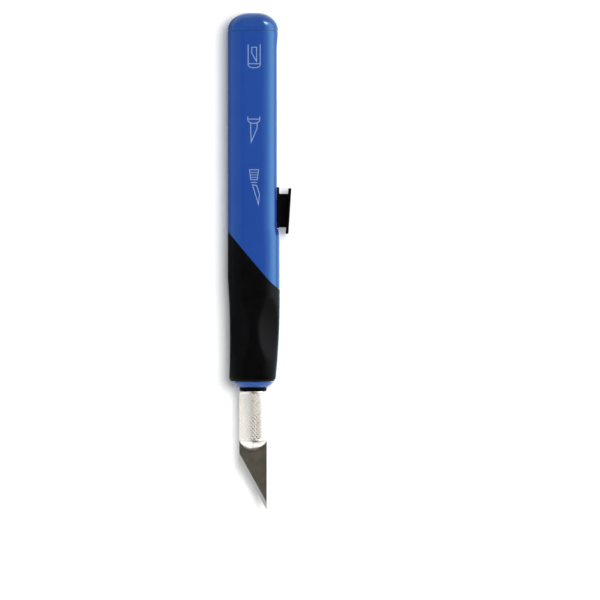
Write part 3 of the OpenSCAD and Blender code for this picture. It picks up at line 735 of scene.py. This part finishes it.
# The sleeve is turned about the axis; its outside is the lower of two crossing saw waves, cut from a radius
def makeChuck(material):
    c = chuck
    front, rear = sleeveLow[1], sleeveHigh[1]
    spokes = c["starts"] * c["steps"]
    turn = np.linspace(0, 2 * np.pi, spokes, endpoint=False)
    knurlFrom, knurlTo = rear - c["rearBand"], front + c["frontBand"]
    count = int((knurlFrom - knurlTo) / c["pitch"] * c["steps"])
    knurlAlong = column(knurlFrom - np.arange(count + 1) * c["pitch"] / c["steps"])
    around, down = turn * c["starts"] / (2 * np.pi), (knurlAlong - knurlFrom) / c["pitch"]
    ridge = np.minimum(*(abs(2 * np.mod(around + s * down, 1) - 1) for s in (1, -1)))
    low = 1 - np.minimum(ridge / c["crest"], 1)
    fromEnds = knurlFrom - knurlAlong, knurlAlong - knurlAlong[-1]
    knurlDepth = low * smooth(fromEnds[0] / c["fadeIn"]) * smooth(fromEnds[1] / c["fadeIn"])
    knurlR = c["radius"] - c["relief"] - c["depth"] * knurlDepth

    # Turned ends: profile points go round from the knurl's front end over the mouth and bore to its rear end
    r, d, e, s, lap = (c[key] for key in ("radius", "chamfer", "edge", "relief", "lap"))
    ends = np.array([
        (r, knurlAlong[-1, 0] - lap), (r, front + d + e), (r - s, front + d), (r - d, front + 2 * s),
        (r - d - e, front), (c["mouth"] + e, front), (c["mouth"], front + lap),
        (c["hole"], front + c["coneLong"]), (c["hole"], c["counterAt"]), (c["counter"], c["counterAt"]),
        (c["counter"], rear - lap), (c["counter"] + lap, rear), (r - d - e, rear),
        (r - d, rear - 2 * s), (r - s, rear - d), (r, rear - d - e), (r, knurlFrom + lap),
    ])
    radius = np.concatenate([knurlR, np.repeat(ends[:, :1], spokes, axis=1)])
    grid = turned(radius, np.concatenate([knurlAlong, ends[:, 1:]]), turn)
    cells = gridCells(*grid.shape[:2], True)

    # Each cell of the knurl is cut along the diagonal whose ends are nearer in height: ridges stay straight
    heights = radius.ravel()[cells[:count]]
    rises = abs(heights[..., :2] - heights[..., 2:])
    oneWay = (rises[..., 0] <= rises[..., 1])[..., None, None]
    halves = np.array([[(0, 1, 2), (0, 2, 3)], [(1, 2, 3), (1, 3, 0)]])
    tris = np.where(oneWay, *(cells[:count][..., pair] for pair in halves))
    depth = np.concatenate([knurlDepth, np.zeros((len(ends), spokes))])
    addPiece("knurled_sleeve", [closedShell(grid, cells[count:], tris)], "sleeve", "chuck_sleeve",
             "chuck_aluminium", material, 25, depth=depth)


collet = dict(dome=2.8, rim=3.95, rimIn=0.03, rimHigh=0.1, rimFoot=0.04, rimEdge=0.06, head=3.38, neck=2.5,
              coneLong=3.88, bladeSlit=0.35, crossSlit=0.06, slitEnd=-7.9, jawLap=0.3, shankIn=0.02,
              shankEnd=-4.8, tailRadius=1.9, tailHalf=1.4, tip=0.62)


# Four jaws: quarter rounds between the slits, carried back from the dome over the cone; then the shank
# and its flat tail
def makeCollet(material):
    c, seat, sleeveFront = collet, domeSeat, sleeveLow[1]
    domeR = arcRadius(c["rim"], c["dome"])
    swing = np.linspace(np.arcsin(c["tip"] / domeR), np.arcsin(c["rim"] / domeR), 26)[:-1]
    centre = seat - c["dome"] + domeR
    rim = c["rim"] - c["rimIn"]
    profile = np.concatenate([
        np.stack([domeR * np.sin(swing), centre - domeR * np.cos(swing)], -1),
        [(rim, seat - c["rimHigh"]), (rim, seat - c["rimFoot"]), (rim - c["rimEdge"], seat),
         (c["head"], seat), (c["head"], sleeveFront), (c["neck"], sleeveFront + c["coneLong"]),
         (c["neck"], c["slitEnd"] + c["jawLap"])]])
    radius, along = column(profile[:, 0]), column(profile[:, 1])

    def jaw(sideX, sideUp):
        fromX, fromUp = c["crossSlit"], c["bladeSlit"]
        outX, outUp = np.sqrt(radius**2 - fromUp**2), np.sqrt(radius**2 - fromX**2)
        start, stop = np.arctan2(fromUp, outX), np.arctan2(outUp, fromX)
        turn = start + (stop - start) * np.linspace(0, 1, 15)
        step = np.linspace(0, 1, 8)[None, 1:-1]
        x = np.concatenate([fromX + (outX - fromX) * np.append([[0]], step, 1), radius * np.cos(turn),
                            fromX + 0 * step * radius], axis=1)
        up = np.concatenate([fromUp + 0 * np.append([[0]], step, 1) * radius, radius * np.sin(turn),
                             outUp + (fromUp - outUp) * step], axis=1)
        return fannedShell(sheet(sideX * x, along, sideUp * up))

    turn = np.linspace(0, 2 * np.pi, 48, endpoint=False)
    shankR = c["neck"] - c["shankIn"]
    back = np.array([(shankR, c["slitEnd"]), (shankR, c["shankEnd"]), (c["tailRadius"], c["shankEnd"]),
                     (c["tailRadius"], colletHigh[1])])
    flats = column([c["neck"], c["neck"], c["tailHalf"], c["tailHalf"]])
    shank = turned(back[:, :1], back[:, 1:], turn)
    shank[..., 2] = np.clip(shank[..., 2], -flats, flats)
    shells = [jaw(sx, su) for sx in (1, -1) for su in (1, -1)] + [fannedShell(shank)]
    count = sum(len(shell[0]) for shell in shells)
    addPiece("collet_jaws", shells, "jaws", "collet", "chuck_aluminium", material, 32, depth=np.zeros(count))


blade = dict(thick=0.6, heel=5.6, edgeTurn=np.radians(29), bevel=1.02, edgeThick=0.03, softSpine=0.05,
             spineIn=0.06, creaseSoft=0.04, creaseSpan=(0.02, 0.85), creaseShare=0.01, tipBlunt=0.06,
             tangHalf=2.2, tangEnd=-8.0, tangMiddle=-12, tangEdge=0.08, tangThin=0.7,
             seatRows=(-0.001, 0, 0.05, 0.4))


# The blade is a row of cross sections from tang to tip; its half thickness falls off in a straight bevel
# to the edge line
def makeBlade(material):
    b, seat, tip = blade, domeSeat, bladeLow[1]
    left, right = bladeLow[0], bladeHigh[0]
    heel = seat - b["heel"]
    fade = b["bevel"] / np.sin(b["edgeTurn"])
    seatRows = seat - np.array(b["seatRows"])
    along = column(np.concatenate([
        [b["tangEnd"], b["tangEnd"] - b["tangEdge"], b["tangMiddle"]], seatRows[:-1],
        np.linspace(seatRows[-1], heel + fade, 8), np.linspace(heel + fade, heel, 12)[1:],
        np.linspace(heel, tip + fade, 40)[1:], np.linspace(tip + fade, tip + b["tipBlunt"], 16)[1:]]))
    tang = along > seat
    edgeX = left + (heel - along) * np.tan(b["edgeTurn"])
    lowX = np.where(tang, -b["tangHalf"], np.maximum(left, edgeX))
    highX = np.where(tang, b["tangHalf"], right)
    wide = highX - lowX

    # Columns: across the bevel, then across the face to the spine
    creaseX = edgeX + b["bevel"] / np.cos(b["edgeTurn"])
    creaseX = np.clip(creaseX, *(lowX + share * wide for share in b["creaseSpan"]))
    near = np.minimum(b["creaseSoft"], b["creaseShare"] * wide)
    toCrease = lowX + (creaseX - near - lowX) * np.linspace(0, 1, 8)
    toSpine = creaseX + near + (highX - creaseX - near) * np.linspace(0, 1, 9)
    x = np.concatenate([toCrease, creaseX, toSpine], axis=1)
    inside = (x - edgeX) * np.cos(b["edgeTurn"])
    half = b["edgeThick"] / 2 + (b["thick"] - b["edgeThick"]) / 2 * np.clip(inside / b["bevel"], 0, 1)
    half[:, -1] = np.minimum(half[:, -1], b["thick"] / 2 - b["spineIn"])
    half[0] *= b["tangThin"]
    x[:, -2] = np.minimum(x[:, -2], highX[:, 0] - b["softSpine"])
    ringX = np.concatenate([x, x[:, ::-1]], axis=1)
    ringUp = np.concatenate([half, -half[:, ::-1]], axis=1)
    bevel = smooth((b["bevel"] - inside) / b["creaseSoft"] / 2 + 0.5) * ~tang
    ringBevel = np.concatenate([bevel, bevel[:, ::-1]], axis=1)
    shell = fannedShell(sheet(ringX, along, ringUp))
    addPiece("steel_blade", [shell], "cutter", "blade", "blade_steel", material, 20,
             bevel=np.append(ringBevel.ravel(), [0, 1]))


# Finishes and pieces
blue, rubber, black, bright = bluePlastic(), gripRubber(), blackPlastic(), chuckAluminium()
makeHandle(blue)
makeGrip(rubber)
makeCap(blue)
makePictograms(printInk())
makeThumb(black)
makeChuck(bright)
makeCollet(bright)
makeBlade(bladeSteel())
spring = springSteel()
for nodeName, finish, slotName in (
    ("carriage", black, "black_plastic"),
    ("detent_spring", spring, "spring_steel"),
    ("retaining_ring", spring, "spring_steel"),
):
    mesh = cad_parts[nodeName].data
    mesh.materials.clear()
    mesh.materials.append(finish)
print("finished the pieces")

studio = dict(
    floorHalf=4.0, floorCloud=40, floorGrey=paint(0.88, 0.88, 0.88), floorPale=paint(0.9, 0.9, 0.9),
    viewWide=175.05, viewAcross=13.71, viewAlong=-26.46, viewHigh=6.0, viewFar=50, sensor=36,
    left=paint(0.66, 0.71, 0.78), right=paint(0.78, 0.8, 0.82), sides=(-0.6, 0.6),
    low=paint(0.26, 0.27, 0.3), lowAcross=(-0.3, -0.75), lowHeight=(0.25, -0.15),
    ahead=paint(1.5, 1.5, 1.5), aheadAlong=(-0.5, -1.0), airOnMatt=0.32,
    zenith=paint(0.13, 0.1, 0.06), zenithLean=23, zenithAlong=0.22, zenithRim=(0.73, 0.83),
    lamps=dict(
        key=dict(place=(0.26, 0.16, 1.14), wide=0.6, power=13.2),
        side=dict(place=(1.1, 0.05, 0.47), wide=0.95, power=6.0),
        fill=dict(place=(-1.2, 0.05, 0.2), wide=0.8, power=8.0),
        front=dict(place=(0.1, -1.15, 0.3), wide=0.9, power=7.0),
    ),
)


# A pale floor, soft air that is dark overhead and low on the left, and four soft lamps
def makeStudio():
    s = studio
    material, shader, place = newFinish("paleFloor")
    cloud = place.noise(s["floorCloud"], 3).ramp(0.3, 0.7)
    feed(shader, baseColor=cloud.blend(s["floorGrey"], s["floorPale"]), roughness=0.8, specularIorLevel=0.1)
    half = s["floorHalf"]
    mesh = bpy.data.meshes.new("floor")
    corners = [(-half, -half, 0), (half, -half, 0), (half, half, 0), (-half, half, 0)]
    mesh.from_pydata(corners, [], [(0, 1, 2, 3)])
    mesh.materials.append(material)
    floor = addObject("floor", mesh)

    world = bpy.data.worlds.new("studioAir")
    world.use_nodes = True
    tree = world.node_tree
    air = Flow(tree).node("TexCoord", {}, {}, 0)
    across, along, height = (air.node("SeparateXYZ", {}, {0: air}, axis) for axis in range(3))
    sides = across.ramp(*s["sides"]).blend(s["left"], s["right"])
    low = across.ramp(*s["lowAcross"]) * height.ramp(*s["lowHeight"])
    lean = np.radians(s["zenithLean"])
    overhead = height * np.cos(lean) + across * np.sin(lean) - along * s["zenithAlong"]
    sides = along.ramp(*s["aheadAlong"]).blend(low.blend(sides, s["low"]), s["ahead"])
    colour = overhead.ramp(*s["zenithRim"]).blend(sides, s["zenith"])
    onMatt = air.node("LightPath", {}, {}, "Is Diffuse Ray")
    background = tree.nodes["Background"]
    tree.links.new(colour.socket, background.inputs["Color"])
    tree.links.new((1 - onMatt * (1 - s["airOnMatt"])).socket, background.inputs["Strength"])
    bpy.context.scene.world = world

    # The lamps have no mirror image, so gloss and metal show the air and the cards
    for name, box in s["lamps"].items():
        lamp = bpy.data.lights.new(name + "Box", "AREA")
        lamp.shape, lamp.size, lamp.energy = "DISK", box["wide"], box["power"]
        stand = addObject(name + "Box", lamp)
        stand.location = box["place"]
        stand.rotation_euler = (-Vector(box["place"])).to_track_quat("-Z", "Y").to_euler()
        stand.visible_glossy = False


# A card seen in mirror images alone: it glows by its bright mark, and is clear where that is 0
def addCard(name, grid, bright, glow):
    rows, columns = grid.shape[:2]
    mesh = bpy.data.meshes.new(name)
    mesh.from_pydata(grid.reshape(-1, 3), [], gridCells(rows, columns)[:, :-1].reshape(-1, 4).tolist())
    addMark(mesh, "bright", bright)
    material, shader, place = newFinish(name)
    tree = place.tree
    mixed = place.node("MixShader", {}, {0: place.mark("bright"), 1: place.node("BsdfTransparent"),
                                         2: place.node("Emission", {}, {"Color": glow})})
    tree.links.new(mixed.socket, tree.nodes["Material Output"].inputs["Surface"])
    tree.nodes.remove(shader)
    mesh.materials.append(material)
    stand = addObject(name, mesh)
    stand.visible_camera = stand.visible_diffuse = stand.visible_shadow = stand.visible_transmission = False


strip = dict(far=0.08, reach=(10, 130), turn=67, fall=5, front=-0.054, full=-0.036, rear=0.15, turns=61,
             rows=31, glow=paint(4.6, 4.7, 5.0))
wing = dict(far=0.05, reach=(17, 105), soft=15, front=-0.14, rear=-0.053, end=0.006, turns=41,
            rows=31, glow=paint(1.22, 1.22, 1.22))
glint = dict(faces=(0.0037, 0.0547, 0.0105), towards=(0.43, 0.78, 0.45), far=0.045, wide=0.013, high=0.009,
             rows=15, glow=paint(60, 34, 32))
# The flats' dark colour is painted shade, which mirror images show in place of the shaded floor
flats = dict(near=0.0068, far=0.06, soft=0.02, front=-0.056, rear=0.07, end=0.012, high=0.0003, columns=21,
             rows=61, dark=paint(0.2, 0.21, 0.24), pale=paint(1.1, 1.6, 1.75))


# The strip is a part of a cylinder along the handle's right, and the wing one along the chuck's left;
# the glint is a small oval close behind the cap; a dark card of painted shade lies on the floor left of the
# handle, and a pale one right of it
def makeCards():
    s, w, g, f = strip, wing, glint, flats
    turn = np.radians(column(np.linspace(*s["reach"], s["turns"])))
    along = np.linspace(s["front"], s["rear"], s["rows"])
    bright = np.maximum(np.cos(turn - np.radians(s["turn"])), 0) ** s["fall"]
    bright = bright * smooth((along - s["front"]) / (s["full"] - s["front"]))
    addCard("softStrip", turned(s["far"], along, np.pi / 2 - turn), bright, s["glow"])
    turn = np.radians(column(np.linspace(*w["reach"], w["turns"])))
    along = np.linspace(w["front"], w["rear"], w["rows"])
    bright = smooth((turn - turn[0]) / np.radians(w["soft"])) * smooth((w["rear"] - along) / w["end"])
    addCard("softWing", turned(w["far"], along, np.pi / 2 + turn), bright, w["glow"])
    towards = np.array(g["towards"]) / np.linalg.norm(g["towards"])
    level = np.cross(towards, (0, 0, 1)) / np.linalg.norm(towards[:2])
    u = np.linspace(-1, 1, g["rows"])
    u, v = np.meshgrid(u, u)
    middle = np.array(g["faces"]) + towards * g["far"]
    grid = middle + u[..., None] * level * g["wide"] + v[..., None] * np.cross(level, towards) * g["high"]
    addCard("softGlint", grid, smooth(1 - u**2 - v**2) ** 2, g["glow"])
    across = column(np.linspace(f["near"], f["far"], f["columns"]))
    along = np.linspace(f["front"], f["rear"], f["rows"])
    cover = smooth((f["far"] - across) / f["soft"]) * smooth((along - f["front"]) / f["end"])
    cover = cover * smooth((f["rear"] - along) / f["end"])
    # Painted shade: in mirror images the dark card stands in for the floor's shadow left of the handle
    addCard("paintedShadeFlat", sheet(-across, along, f["high"]), cover, f["dark"])
    addCard("paleFlat", sheet(across, along, f["high"]), cover, f["pale"])
    print("hung the cards")


def makeCamera():
    s = studio
    camera = bpy.data.cameras.new("photoView")
    camera.sensor_width = s["sensor"]
    high = s["viewHigh"]
    reach = high - datum[2] * mm  # the view's width is measured at the height of the chuck's axis
    camera.lens = camera.sensor_width * reach / (s["viewWide"] * mm)
    camera.clip_end = s["viewFar"]
    view = addObject("photoView", camera)
    view.location = (s["viewAcross"] * mm, s["viewAlong"] * mm, high)
    bpy.context.scene.camera = view


makeStudio()
makeCards()
makeCamera()
bpy.context.scene.view_settings.view_transform = "Standard"
print("lit the studio")
